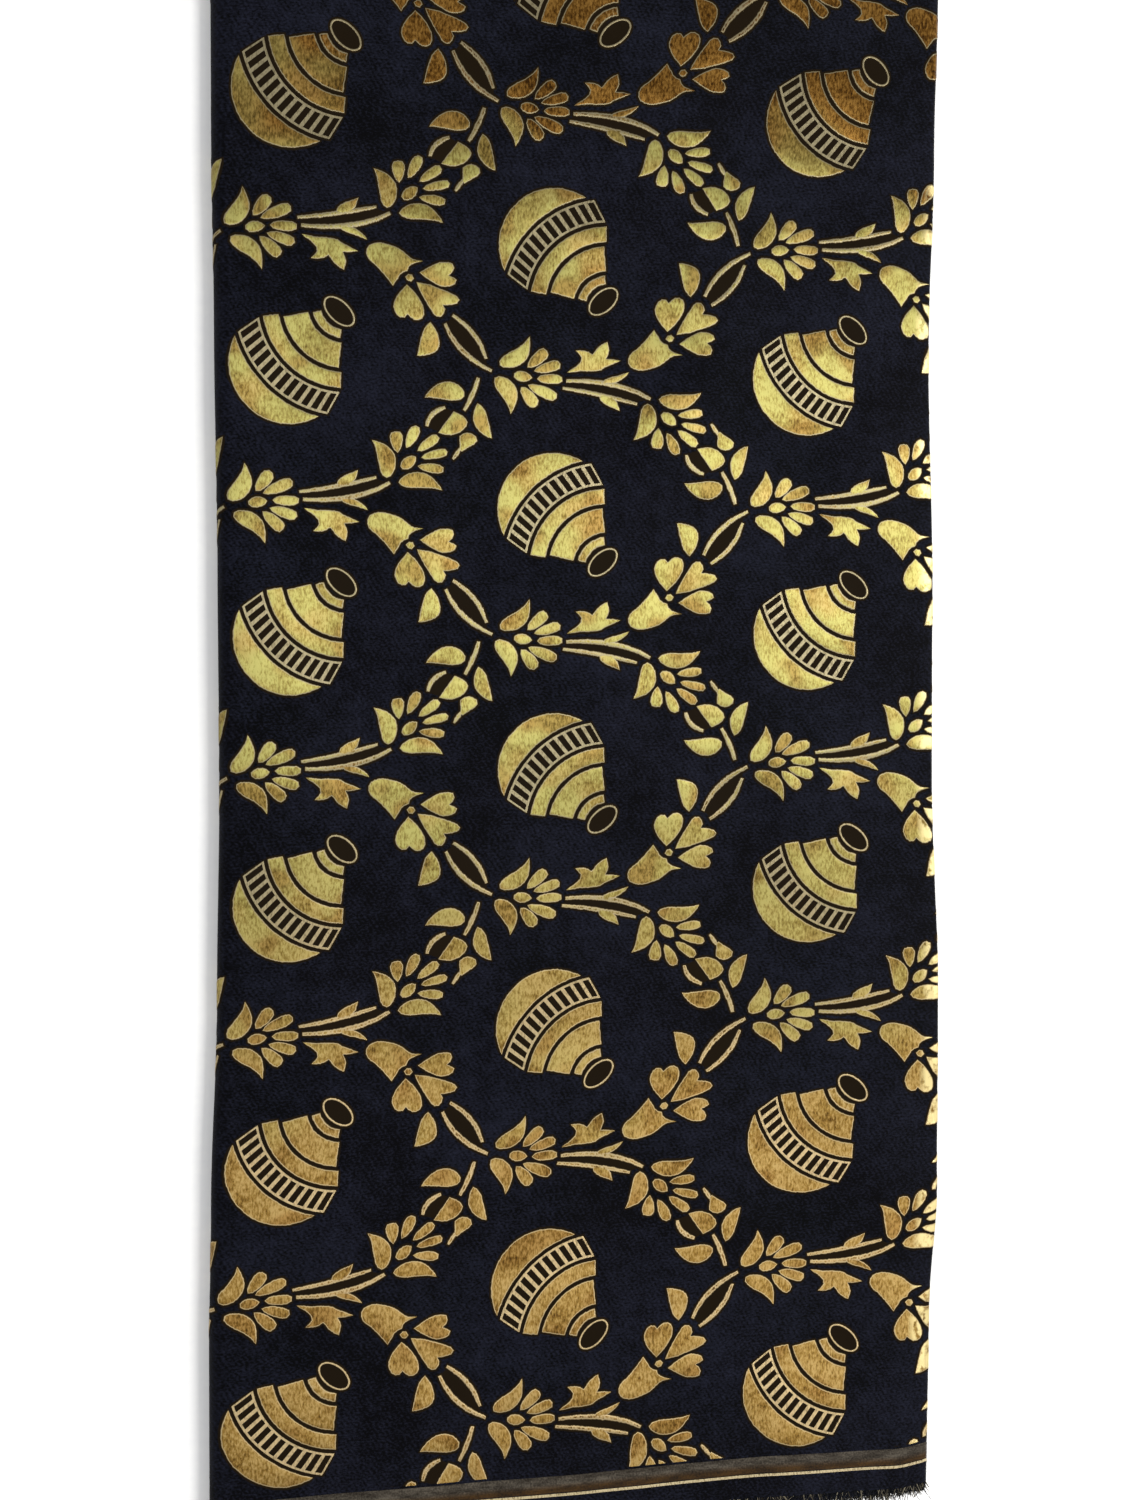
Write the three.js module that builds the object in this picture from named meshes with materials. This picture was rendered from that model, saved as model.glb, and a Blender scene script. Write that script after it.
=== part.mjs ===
// A blouse piece of figured brocade, folded for the shelf.
// The cloth is doubled across its width, so both selvedges lie at the -Y end, and the doubled cloth is
// book-folded in four along its length. The face that shows looks up, and the pack lies on z = 0.

import * as THREE from "three";

// Driving dimensions, in millimetres
const clothLength = 1020; // along the warp, from cut end to cut end
const clothWidth = 1120; // from selvedge to selvedge
const fringeLength = 4; // weft yarn ends that stand out past each selvedge
const packWidth = 262; // from the left folds to the right fold
const sheetThickness = 1;
const sheetGap = 0.5;
const cutEndStagger = 4; // how far the lower cut end reaches past the upper one
const selvedgeStagger = 1.5; // how far the inner selvedge lies back from the face one

// How finely the faceted cloth is divided
const panelsAcross = 12; // along X in each layer
const panelsAlong = 12; // along Y in each sheet
const outerFoldFacets = 9;
const innerFoldFacets = 6;
const doublingFacets = 4;
const roundingSlack = 1e-6; // keeps a length of whole panels from getting an extra one

// Measures of the stack that follow from them
const halfDouble = sheetThickness + sheetGap / 2; // mid-line of a doubled layer to its outer face
const layerPitch = 2 * sheetThickness + 2 * sheetGap;
const layers = 4;
const stackHeight = 2 * halfDouble + (layers - 1) * layerPitch;
const outerFoldRadius = ((layers - 1) * layerPitch) / 2;
const innerFoldRadius = layerPitch / 2;
const leftFoldX = -packWidth / 2 + outerFoldRadius + halfDouble;
const rightFoldX = packWidth / 2 - innerFoldRadius - halfDouble;

// The two lower layers share what the upper layers and the folds leave of the cloth's length.
const foldsLength = Math.PI * (outerFoldRadius + 2 * innerFoldRadius);
const lowerLayers = clothLength - foldsLength - 2 * (rightFoldX - leftFoldX);
const bottomLayerLength = (lowerLayers + cutEndStagger) / 2;
const secondLayerLength = (lowerLayers - cutEndStagger) / 2;

// The doubling fold, at the +Y end
const doublingRadius = (sheetThickness + sheetGap) / 2;
const sheetLength = (clothWidth - Math.PI * doublingRadius) / 2;
const packLength = sheetLength + halfDouble + selvedgeStagger / 2 + fringeLength;
const doublingY = packLength / 2 - halfDouble;
const faceSelvedgeY = -packLength / 2;
const innerSelvedgeY = faceSelvedgeY + selvedgeStagger;

// How far the left and right edges stand out past packWidth, from the selvedges to the doubling fold
const edgeRows = [
  { y: -283, left: 2.7, right: -1.8 },
  { y: -215, left: 2.7, right: -0.8 },
  { y: -165, left: 1.9, right: 2.4 },
  { y: -90, left: -0.4, right: 2.7 },
  { y: -15, left: -1.4, right: 0.1 },
  { y: 60, left: -1.0, right: 0.3 },
  { y: 145, left: 0.0, right: -1.4 },
  { y: 215, left: 0.8, right: 0.6 },
  { y: 283, left: 0.9, right: 2.2 },
];

// Soft swells that lift the stack: centre, half-length along the swell, half-width, its turn from +Y
// in degrees, and the lift of the top face
const swells = [
  { x: -112, y: 10, along: 520, across: 26, turn: 0, lift: 0.9 },
  { x: 116, y: -120, along: 130, across: 22, turn: 2, lift: 1.3 },
  { x: 114, y: 190, along: 110, across: 24, turn: -3, lift: 1.0 },
  { x: 36, y: 118, along: 46, across: 13, turn: -28, lift: 1.5 },
  { x: -30, y: -90, along: 150, across: 48, turn: 38, lift: 0.7 },
  { x: 20, y: 236, along: 50, across: 70, turn: 70, lift: 0.6 },
  { x: 92, y: -262, along: 34, across: 40, turn: 60, lift: 0.9 },
];

// The right fold draws the corner of the selvedges up towards +Y.
const cornerRise = 3;
const cornerReach = { x: 12, y: 60 };

// Smooth curve through one column of edgeRows
function edgeOffset(y, column) {
  const last = edgeRows.length - 1;
  if (y <= edgeRows[0].y) return edgeRows[0][column];
  if (y >= edgeRows[last].y) return edgeRows[last][column];
  const k = edgeRows.findIndex((row) => row.y > y);
  const below = edgeRows[k - 1];
  const above = edgeRows[k];
  const t = THREE.MathUtils.smoothstep(y, below.y, above.y);
  return THREE.MathUtils.lerp(below[column], above[column], t);
}

// Lift of the top face at a place on the pack
function swellLift(x, y) {
  let total = 0;
  for (const swell of swells) {
    const turn = THREE.MathUtils.degToRad(swell.turn);
    const dx = x - swell.x;
    const dy = y - swell.y;
    const along = (dy * Math.cos(turn) - dx * Math.sin(turn)) / swell.along;
    const across = (dx * Math.cos(turn) + dy * Math.sin(turn)) / swell.across;
    total += swell.lift * Math.exp(-along * along - across * across);
  }
  return total;
}

// Moves a point of the evenly folded pack to where the uneven one has it. The underside stays flat.
function settle(x, y, z) {
  const side = x < 0 ? -edgeOffset(y, "left") : edgeOffset(y, "right");
  const share = Math.abs(x) / (packWidth / 2);
  const fromFold = (packWidth / 2 - x) / cornerReach.x;
  const fromSelvedge = (y - faceSelvedgeY) / cornerReach.y;
  const drawnUp = cornerRise * Math.exp(-fromFold * fromFold - fromSelvedge * fromSelvedge);
  const lifted = z * (1 + swellLift(x, y) / stackHeight);
  return [x + side * share * share, y + drawnUp, lifted];
}

const layerHeight = (layer) => halfDouble + layer * layerPitch;

// The folded mid-line in X and Z, from one cut end to the other: each station is a point of the
// doubled layer's mid-line with the direction that the cloth's face looks in
function foldStations() {
  const stations = [];
  const panel = (rightFoldX - leftFoldX) / panelsAcross;

  function addLayer(layer, length, headingRight, face) {
    const steps = Math.ceil(length / panel - roundingSlack);
    const xs = [];
    for (let i = 0; i <= steps; i += 1) xs.push(leftFoldX + Math.min(i * panel, length));
    if (!headingRight) xs.reverse();
    for (const x of xs) stations.push({ x, z: layerHeight(layer), nx: 0, nz: face });
  }

  // A fold between two layers, from one turn of its radius to another; its ends belong to the layers
  function addFold(x, lower, upper, facets, fromTurn, toTurn, face) {
    const centre = (layerHeight(lower) + layerHeight(upper)) / 2;
    const radius = (layerHeight(upper) - layerHeight(lower)) / 2;
    for (let i = 1; i < facets; i += 1) {
      const turn = THREE.MathUtils.degToRad(THREE.MathUtils.lerp(fromTurn, toTurn, i / facets));
      const nx = Math.cos(turn);
      const nz = Math.sin(turn);
      stations.push({ x: x + radius * nx, z: centre + radius * nz, nx: face * nx, nz: face * nz });
    }
  }

  addLayer(0, bottomLayerLength, false, -1);
  addFold(leftFoldX, 0, 3, outerFoldFacets, -90, -270, 1);
  addLayer(3, rightFoldX - leftFoldX, true, 1);
  addFold(rightFoldX, 2, 3, innerFoldFacets, 90, -90, 1);
  addLayer(2, rightFoldX - leftFoldX, false, -1);
  addFold(leftFoldX, 1, 2, innerFoldFacets, 90, 270, -1);
  addLayer(1, secondLayerLength, true, 1);
  return stations;
}

// The doubled cloth cut along Y: pairs of points on its outer and inner surface, from the face
// sheet's selvedge round the doubling fold to the other sheet's. Each is a place along Y and an
// offset from the mid-line.
function doubledSection() {
  const rungs = [];
  const outer = halfDouble;
  const inner = sheetGap / 2;
  for (let i = 0; i < panelsAlong; i += 1) {
    const y = THREE.MathUtils.lerp(faceSelvedgeY, doublingY, i / panelsAlong);
    rungs.push({ outer: [y, outer], inner: [y, inner] });
  }
  for (let i = 0; i <= doublingFacets; i += 1) {
    const turn = Math.PI * (0.5 - i / doublingFacets);
    const across = Math.cos(turn);
    const offset = Math.sin(turn);
    rungs.push({
      outer: [doublingY + outer * across, outer * offset],
      inner: [doublingY + inner * across, inner * offset],
    });
  }
  for (let i = panelsAlong - 1; i >= 0; i -= 1) {
    const y = THREE.MathUtils.lerp(innerSelvedgeY, doublingY, i / panelsAlong);
    rungs.push({ outer: [y, -outer], inner: [y, -inner] });
  }
  return rungs;
}

// The closed body of the folded cloth: the section swept along the folds
function foldedClothGeometry() {
  const stations = foldStations();
  const rungs = doubledSection();
  const outline = [
    ...rungs.map((rung) => rung.inner),
    ...rungs.map((rung) => rung.outer).reverse(),
  ];
  const ring = outline.length;
  const positions = [];
  for (const station of stations) {
    for (const [y, offset] of outline) {
      const x = station.x + offset * station.nx;
      const z = station.z + offset * station.nz;
      positions.push(...settle(x, y, z));
    }
  }

  const faces = [];
  const addQuad = (a, b, c, d) => faces.push(a, b, c, a, c, d);
  for (let j = 0; j < stations.length - 1; j += 1) {
    for (let i = 0; i < ring; i += 1) {
      const next = (i + 1) % ring;
      addQuad(j * ring + i, j * ring + next, (j + 1) * ring + next, (j + 1) * ring + i);
    }
  }

  // The two cut ends are strips between the inner and outer surface.
  const end = (stations.length - 1) * ring;
  for (let i = 0; i < rungs.length - 1; i += 1) {
    const opposite = ring - 1 - i;
    addQuad(i, opposite, opposite - 1, i + 1);
    addQuad(end + i, end + i + 1, end + opposite - 1, end + opposite);
  }

  const geometry = new THREE.BufferGeometry();
  geometry.setAttribute("position", new THREE.Float32BufferAttribute(positions, 3));
  geometry.setIndex(faces);
  geometry.computeVertexNormals();
  return geometry;
}

// Navy-black satin ground with a metallic sheen from the gold weft
const brocade = new THREE.MeshStandardMaterial({ color: 0x171923, roughness: 0.5, metalness: 0.1 });

const foldedCloth = new THREE.Mesh(foldedClothGeometry(), brocade);
foldedCloth.name = "folded_cloth";

const blousePiece = new THREE.Group();
blousePiece.add(foldedCloth);

export default blousePiece;
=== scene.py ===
# Folded blouse piece of navy-black satin brocade, with a woven gold trellis of flowers round water pots.
# Sizes in the dictionaries are millimetres. Meshes are made in metres.

import math
import bmesh
import bpy
import numpy as np
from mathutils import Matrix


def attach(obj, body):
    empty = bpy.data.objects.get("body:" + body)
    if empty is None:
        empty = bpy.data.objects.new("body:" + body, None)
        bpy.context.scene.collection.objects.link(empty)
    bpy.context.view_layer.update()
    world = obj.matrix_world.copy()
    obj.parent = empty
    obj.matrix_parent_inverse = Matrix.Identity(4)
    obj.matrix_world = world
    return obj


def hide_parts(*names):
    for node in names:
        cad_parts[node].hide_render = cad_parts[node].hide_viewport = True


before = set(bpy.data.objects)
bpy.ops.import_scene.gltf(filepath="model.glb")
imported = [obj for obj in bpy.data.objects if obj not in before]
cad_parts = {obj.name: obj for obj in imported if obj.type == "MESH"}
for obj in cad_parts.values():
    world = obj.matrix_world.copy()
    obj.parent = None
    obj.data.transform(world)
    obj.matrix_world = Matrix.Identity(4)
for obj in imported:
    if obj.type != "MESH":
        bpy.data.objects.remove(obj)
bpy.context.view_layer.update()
mm = 0.001
packNode = "folded_cloth"
packBody = "root"


# How the cloth is folded: the same measures as the frame's solid

fold = {
    "clothLength": 1020.0,  # along the warp, cut end to cut end
    "clothWidth": 1120.0,  # selvedge to selvedge
    "fringeLength": 4.0,  # weft yarn ends past each selvedge
    "packWidth": 262.0,
    "solidThickness": 1.0,
    "solidGap": 0.5,
    "cutEndStagger": 4.0,
    "selvedgeStagger": 1.5,
    "layers": 4,
    "sheetThickness": 0.66,  # of the cloth that shows
    "sheetOffset": 0.78,  # its middle, off the mid-line of a doubled layer
}

halfDouble = fold["solidThickness"] + fold["solidGap"] / 2
layerPitch = 2 * (fold["solidThickness"] + fold["solidGap"])
stackHeight = 2 * halfDouble + (fold["layers"] - 1) * layerPitch
outerRadius = (fold["layers"] - 1) * layerPitch / 2
innerRadius = layerPitch / 2
leftFoldX = -fold["packWidth"] / 2 + outerRadius + halfDouble
rightFoldX = fold["packWidth"] / 2 - innerRadius - halfDouble
upperLength = rightFoldX - leftFoldX
lowerLengths = fold["clothLength"] - math.pi * (outerRadius + 2 * innerRadius) - 2 * upperLength

doublingRadius = (fold["solidThickness"] + fold["solidGap"]) / 2
doublingArc = math.pi * doublingRadius
sheetLength = (fold["clothWidth"] - doublingArc) / 2
packLength = sheetLength + halfDouble + fold["selvedgeStagger"] / 2 + fold["fringeLength"]
doublingY = packLength / 2 - halfDouble
wovenEdgeY = -packLength / 2 + fold["fringeLength"]
faceLength = doublingY - wovenEdgeY
halfSheet = fold["sheetThickness"] / 2

# The folded mid-line in order, from the cut end at the bottom: flat layers, and bends between them
foldLegs = [
    {"layer": 0, "length": (lowerLengths + fold["cutEndStagger"]) / 2, "heading": -1, "step": 7.0},
    {"bend": leftFoldX, "rows": (0, 3), "turns": (-90, -270), "face": 1, "step": 1.2},
    {"layer": 3, "length": upperLength, "heading": 1, "step": 3.6},
    {"bend": rightFoldX, "rows": (2, 3), "turns": (90, -90), "face": 1, "step": 0.8},
    {"layer": 2, "length": upperLength, "heading": -1, "step": 14.0},
    {"bend": leftFoldX, "rows": (1, 2), "turns": (90, 270), "face": -1, "step": 0.8},
    {"layer": 1, "length": (lowerLengths - fold["cutEndStagger"]) / 2, "heading": 1, "step": 14.0},
]


def layerHeight(layer):
    return halfDouble + layer * layerPitch


start = 0.0
for leg in foldLegs:
    if "bend" in leg:
        low, high = (layerHeight(row) for row in leg["rows"])
        leg["radius"], leg["middle"] = (high - low) / 2, (high + low) / 2
        leg["length"] = math.pi * leg["radius"]
    leg["start"], leg["end"] = start, start + leg["length"]
    start = leg["end"]


# How the pack has settled: wavy edges, soft swells, and fine cockle that the solid leaves out

edgeRows = [
    {"y": -283, "left": 2.7, "right": -1.8},
    {"y": -215, "left": 2.7, "right": -0.8},
    {"y": -165, "left": 1.9, "right": 2.4},
    {"y": -90, "left": -0.4, "right": 2.7},
    {"y": -15, "left": -1.4, "right": 0.1},
    {"y": 60, "left": -1.0, "right": 0.3},
    {"y": 145, "left": 0.0, "right": -1.4},
    {"y": 215, "left": 0.8, "right": 0.6},
    {"y": 283, "left": 0.9, "right": 2.2},
]
swells = [
    {"x": -112, "y": 10, "along": 520, "across": 26, "turn": 0, "lift": 0.9},
    {"x": 116, "y": -120, "along": 130, "across": 22, "turn": 2, "lift": 1.3},
    {"x": 114, "y": 190, "along": 110, "across": 24, "turn": -3, "lift": 1.0},
    {"x": 36, "y": 118, "along": 46, "across": 13, "turn": -28, "lift": 1.5},
    {"x": -30, "y": -90, "along": 150, "across": 48, "turn": 38, "lift": 0.7},
    {"x": 20, "y": 236, "along": 50, "across": 70, "turn": 70, "lift": 0.6},
    {"x": 92, "y": -262, "along": 34, "across": 40, "turn": 60, "lift": 0.9},
]
cockles = [
    {"wave": 61, "turn": 12, "shift": 0.4, "height": 0.22},
    {"wave": 43, "turn": -31, "shift": 2.1, "height": 0.13},
    {"wave": 29, "turn": 64, "shift": 4.0, "height": 0.07},
    {"wave": 24, "turn": -8, "shift": 5.2, "height": 0.05},
]
# Near the selvedges the face sheet is drawn in along y by rises at places x across the pack, and the sheets
# under it reach out past it. A sheet counts as under below the seam's height, and as the face from faceFrom
# up, both as shares of the stack.
selvedgeLie = {
    "rises": [
        {"x": -131, "rise": -1.6},
        {"x": -18, "rise": -1.35},
        {"x": 20, "rise": -0.7},
        {"x": 66, "rise": 0.6},
        {"x": 96, "rise": 0.05},
        {"x": 119, "rise": -0.4},
        {"x": 131, "rise": 1.7},
    ],
    "seam": [
        {"x": -120, "height": 0.10},
        {"x": -100, "height": 0.86},
        {"x": 112, "height": 0.86},
        {"x": 126, "height": 0.62},
    ],
    "faceFrom": 0.92,
    "underReach": 4.5,
    "fade": 60.0,
}


def edgeOffset(y, column):
    rows = [row["y"] for row in edgeRows]
    values = np.array([row[column] for row in edgeRows])
    y = np.clip(y, rows[0], rows[-1])
    k = np.clip(np.searchsorted(rows, y, side="right") - 1, 0, len(rows) - 2)
    t = (y - np.take(rows, k)) / (np.take(rows, k + 1) - np.take(rows, k))
    t = t * t * (3 - 2 * t)
    return values[k] * (1 - t) + values[k + 1] * t


def swellLift(x, y):
    total = np.zeros_like(x)
    for swell in swells:
        turn = math.radians(swell["turn"])
        dx, dy = x - swell["x"], y - swell["y"]
        along = (dy * math.cos(turn) - dx * math.sin(turn)) / swell["along"]
        across = (dx * math.cos(turn) + dy * math.sin(turn)) / swell["across"]
        total += swell["lift"] * np.exp(-along**2 - across**2)
    for cockle in cockles:
        turn = math.radians(cockle["turn"])
        phase = (x * math.cos(turn) + y * math.sin(turn)) * 2 * math.pi / cockle["wave"]
        total += cockle["height"] * np.sin(phase + cockle["shift"])
    return total


# A value at each x, between the rows of a short table
def between(rows, x, column):
    return np.interp(x, [row["x"] for row in rows], [row[column] for row in rows])


def settle(x, y, z):
    side = np.where(x < 0, -edgeOffset(y, "left"), edgeOffset(y, "right"))
    share = np.abs(x) / (fold["packWidth"] / 2)
    seam = between(selvedgeLie["seam"], x, "height")
    face = np.clip((z / stackHeight - seam) / (selvedgeLie["faceFrom"] - seam), 0, 1)
    rise = between(selvedgeLie["rises"], x, "rise")
    drawnUp = face * rise - (1 - face) * selvedgeLie["underReach"]
    drawnUp *= np.exp(-(((y + packLength / 2) / selvedgeLie["fade"]) ** 2))
    lifted = z * (1 + swellLift(x, y) / stackHeight)
    return np.stack([x + side * share**2, y + drawnUp, lifted], -1)


# x, z and the face direction of the doubled cloth's mid-line, at each length s along the warp
def midline(s):
    x, z, nx, nz = (np.zeros_like(s) for _ in range(4))
    for leg in foldLegs:
        low = -np.inf if leg is foldLegs[0] else leg["start"]
        high = np.inf if leg is foldLegs[-1] else leg["end"]
        pick = (s >= low) & (s < high)
        t = s[pick] - leg["start"]
        if "layer" in leg:
            first = rightFoldX if leg["layer"] == 2 else leftFoldX
            first += leg["length"] if leg["layer"] == 0 else 0
            x[pick] = first + leg["heading"] * t
            z[pick] = layerHeight(leg["layer"])
            nz[pick] = leg["heading"]
        else:
            a, b = leg["turns"]
            turn = np.radians(a + (b - a) * t / leg["length"])
            x[pick] = leg["bend"] + leg["radius"] * np.cos(turn)
            z[pick] = leg["middle"] + leg["radius"] * np.sin(turn)
            nx[pick] = leg["face"] * np.cos(turn)
            nz[pick] = leg["face"] * np.sin(turn)
    return x, z, nx, nz


# Points of the folded cloth, in metres: s along the warp, v across from the face selvedge, h off its middle
def layCloth(s, v, h):
    s, v, h = (np.asarray(a, float) for a in np.broadcast_arrays(s, v, h))
    turn = np.clip((v - faceLength) / doublingArc, 0, 1) * math.pi
    pastFold = np.clip(v - faceLength - doublingArc, 0, None)
    offset = fold["sheetOffset"] + h
    y = np.minimum(wovenEdgeY + v, doublingY) + offset * np.sin(turn) - pastFold
    offset = offset * np.cos(turn)
    x, z, nx, nz = midline(s)
    return settle(x + nx * offset, y, z + nz * offset) * mm


topStart = foldLegs[2]["start"]

# Broad pulls that draw the figure out of its even repeat: u is the distance from the left fold and v from the
# face selvedge, then how far each pull reaches and how far it moves the figure
pulls = [
    {"u": 0, "v": 0, "reachU": 40, "reachV": 35, "along": 0, "across": 4},
    {"u": 170, "v": 60, "reachU": 110, "reachV": 110, "along": -4, "across": 2},
    {"u": 130, "v": 170, "reachU": 60, "reachV": 90, "along": 0, "across": 2},
    {"u": 0, "v": 280, "reachU": 60, "reachV": 170, "along": 1, "across": -3},
    {"u": 120, "v": 550, "reachU": 400, "reachV": 70, "along": 4, "across": 3},
    {"u": 220, "v": 560, "reachU": 70, "reachV": 65, "along": 6, "across": 0},
]
evenSelvedge = 20  # the pulls grow from nothing at the selvedge to their full strength here


# Moves of places on the flat cloth
def drift(s, v):
    u = np.clip(s - topStart, 0, upperLength)
    moves = np.zeros((len(s), 2))
    for pull in pulls:
        du, dv = (u - pull["u"]) / pull["reachU"], (v - pull["v"]) / pull["reachV"]
        moves += np.exp(-du**2 - dv**2)[:, None] * (pull["along"], pull["across"])
    return moves * np.clip(v / evenSelvedge, 0, 1)[:, None]


# Meshes

def spaced(first, last, step):
    return np.linspace(first, last, max(1, math.ceil((last - first) / step - 1e-6)) + 1)


def joined(stretches):
    return np.concatenate([stretches[0]] + [stretch[1:] for stretch in stretches[1:]])


def warpStations():
    return joined([spaced(leg["start"], leg["end"], leg["step"]) for leg in foldLegs])


# A mesh object from points in metres; loom is each point's place on the flat cloth, in millimetres
def makePiece(name, points, faces, loom=None, material=None):
    mesh = bpy.data.meshes.new(name)
    mesh.from_pydata(np.asarray(points).tolist(), [], faces)
    if loom is not None:
        layer = mesh.uv_layers.new(name="loom")
        corners = np.zeros(len(mesh.loops), np.int32)
        mesh.loops.foreach_get("vertex_index", corners)
        layer.uv.foreach_set("vector", (np.asarray(loom)[corners] * mm).astype(np.float32).ravel())
    mesh.polygons.foreach_set("use_smooth", [True] * len(mesh.polygons))
    mesh.set_sharp_from_angle(angle=math.radians(30))
    if material:
        mesh.materials.append(material)
    piece = bpy.data.objects.new(name, mesh)
    bpy.context.scene.collection.objects.link(piece)
    return piece


def addToFrame(piece, replaces=True):
    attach(piece, packBody)
    if replaces:
        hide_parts(packNode)
    return piece


# Points, flat places and faces of a closed slab of cloth between two heights off the sheet's middle
def slabGrid(sList, vList, low, high):
    s, v = np.meshgrid(sList, vList, indexing="ij")
    rows, columns = s.shape
    points = np.concatenate([layCloth(s, v, h).reshape(-1, 3) for h in (high, low)])
    flat = np.stack([s.ravel(), v.ravel()], -1)
    loom = np.tile(flat - drift(*flat.T), (2, 1))
    index = np.arange(2 * rows * columns).reshape(2, rows, columns)

    def quads(a):
        return np.stack([a[:-1, :-1], a[1:, :-1], a[1:, 1:], a[:-1, 1:]], -1).reshape(-1, 4)

    def strip(a, b):
        return np.stack([a[:-1], b[:-1], b[1:], a[1:]], -1)

    top, under = index
    faces = [quads(top), quads(under)[:, ::-1]]
    faces += [strip(top[:, 0], under[:, 0]), strip(under[:, -1], top[:, -1])]
    faces += [strip(under[0], top[0]), strip(top[-1], under[-1])]
    return points, loom, np.concatenate(faces).tolist()


# Materials

def hexColour(code, alpha=1.0):
    channels = [int(code[i : i + 2], 16) / 255 for i in (1, 3, 5)]
    linear = [c / 12.92 if c <= 0.04045 else ((c + 0.055) / 1.055) ** 2.4 for c in channels]
    return (*linear, alpha)


# A short way to write a material's nodes
class NodeTree:
    def __init__(self, name):
        self.material = bpy.data.materials.new(name)
        self.material.use_nodes = True
        self.tree = self.material.node_tree
        self.shader = self.tree.nodes["Principled BSDF"]

    def add(self, kind, settings=(), **values):
        node = self.tree.nodes.new("ShaderNode" + kind)
        for key, value in dict(settings).items():
            setattr(node, key, value)
        for key, value in values.items():
            self.put(node.inputs[key.replace("_", " ")], value)
        return node

    def put(self, socket, value):
        if isinstance(value, bpy.types.NodeSocket):
            self.tree.links.new(value, socket)
        else:
            socket.default_value = value

    # The flat cloth's coordinates in metres, stretched by scale
    def loom(self, *scale):
        place = self.add("UVMap", {"uv_map": "loom"})
        return self.add("Mapping", Vector=place.outputs[0], Scale=scale).outputs[0]

    def maths(self, operation, first, second=0.0, clamp=False):
        node = self.add("Math", {"operation": operation, "use_clamp": clamp})
        self.put(node.inputs[0], first)
        self.put(node.inputs[1], second)
        return node.outputs[0]

    # 0 to 1 between two values of an input, or 1 to 0 where the first is the higher
    def span(self, value, low, high):
        return self.add("MapRange", Value=value, From_Min=low, From_Max=high).outputs[0]

    # Stripes across one axis, with their period in millimetres
    def bands(self, vector, axis, period, distortion):
        scale = 2 * math.pi / (20 * period * mm)
        settings = {"wave_type": "BANDS", "bands_direction": axis}
        wave = self.add("TexWave", settings, Vector=vector, Scale=scale, Distortion=distortion, Detail=1.0)
        return wave.outputs[1]

    def noise(self, vector, scale, detail=2.0, roughness=0.55):
        return self.add("TexNoise", Vector=vector, Scale=scale, Detail=detail, Roughness=roughness).outputs[0]

    def ramp(self, factor, stops):
        node = self.add("ValToRGB", Fac=factor)
        elements = node.color_ramp.elements
        while len(elements) < len(stops):
            elements.new(0.5)
        for element, (place, colour) in zip(elements, stops):
            element.position = place
            element.color = hexColour(colour) if isinstance(colour, str) else (colour,) * 3 + (1,)
        return node.outputs[0]

    def mix(self, factor, first, second, blend="MIX"):
        node = self.add("Mix", {"data_type": "RGBA", "blend_type": blend})
        self.put(node.inputs[0], factor)
        self.put(node.inputs[6], first)
        self.put(node.inputs[7], second)
        return node.outputs[2]

    def bump(self, height, strength, distance, normal=None):
        node = self.add("Bump", Height=height, Strength=strength, Distance=distance)
        if normal:
            self.put(node.inputs["Normal"], normal)
        return node.outputs[0]


satin = {
    "darkest": "#030305",
    "lightest": "#191b27",
    "twillPeriod": 1.6,  # the faint slanted satin line
    "twillTurn": -32.0,
    "threadPeriod": 0.40,
    "roughness": 0.6,
    "specular": 0.03,
}


def satinMaterial():
    m = NodeTree("navy_satin")
    flat = m.loom(1, 1, 1)
    turned = m.add("Mapping", Vector=flat, Rotation=(0, 0, math.radians(satin["twillTurn"]))).outputs[0]
    twill = m.bands(turned, "X", satin["twillPeriod"], 1.0)
    threads = m.bands(flat, "Y", satin["threadPeriod"], 0.6)
    cloud = m.noise(flat, 24.0, 3.0)
    blotch = m.noise(flat, 170.0, 3.0, 0.6)
    speck = m.noise(m.loom(1, 1.6, 1), 900.0, 2.0, 0.65)
    shade = m.maths("ADD", m.maths("MULTIPLY", cloud, 0.30), m.maths("MULTIPLY", blotch, 0.25))
    shade = m.maths("ADD", shade, m.maths("MULTIPLY", twill, 0.05))
    shade = m.maths("ADD", shade, m.maths("MULTIPLY", speck, 0.62))
    height = m.maths("ADD", m.maths("MULTIPLY", twill, 0.35), m.maths("MULTIPLY", threads, 0.4))
    m.put(m.shader.inputs["Base Color"], m.ramp(shade, [(0.54, satin["darkest"]), (0.80, satin["lightest"])]))
    m.put(m.shader.inputs["Normal"], m.bump(height, 0.4, 0.00006))
    m.shader.inputs["Roughness"].default_value = satin["roughness"]
    m.shader.inputs["Specular IOR Level"].default_value = satin["specular"]
    return m.material


gold = {
    "bright": "#9f995a",
    "olive": "#82763e",
    "rust": "#574520",
    "copper": "#a48a56",  # painted shade: the gold away from the highlight band, near the face selvedge
    "tan": "#80642f",
    "copperDeep": "#4a3317",
    "brown": "#8a6630",  # painted shade: the gold darker away from the highlight band, towards the doubling fold
    "umber": "#5c3e16",
    "brownDeep": "#2e1c0a",
    "rim": "#8e8468",
    # painted light: the rims are paler in the zone near the face selvedge
    "rimNear": "#b09c76",
    # painted shade: each float darkens towards its foot, next to its dark line
    "foot": "#3a2c14",
    "outline": "#150e05",
    "paintedFoldHighlight": "#cdbd88",  # painted highlight where the gold turns over the right fold
    "paintedFoldHighlightReach": (4.5, 5.0),  # millimetres before and past the end of the top layer
    "nearEnds": (0.260, 0.140),  # metres from the face selvedge, over which each painted shade zone fades in
    "farEnds": (0.468, 0.508),
    "threadPeriod": 0.42,
    "metal": 0.85,
    "roughness": 0.42,
    "anisotropy": 0.88,
}


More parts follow.
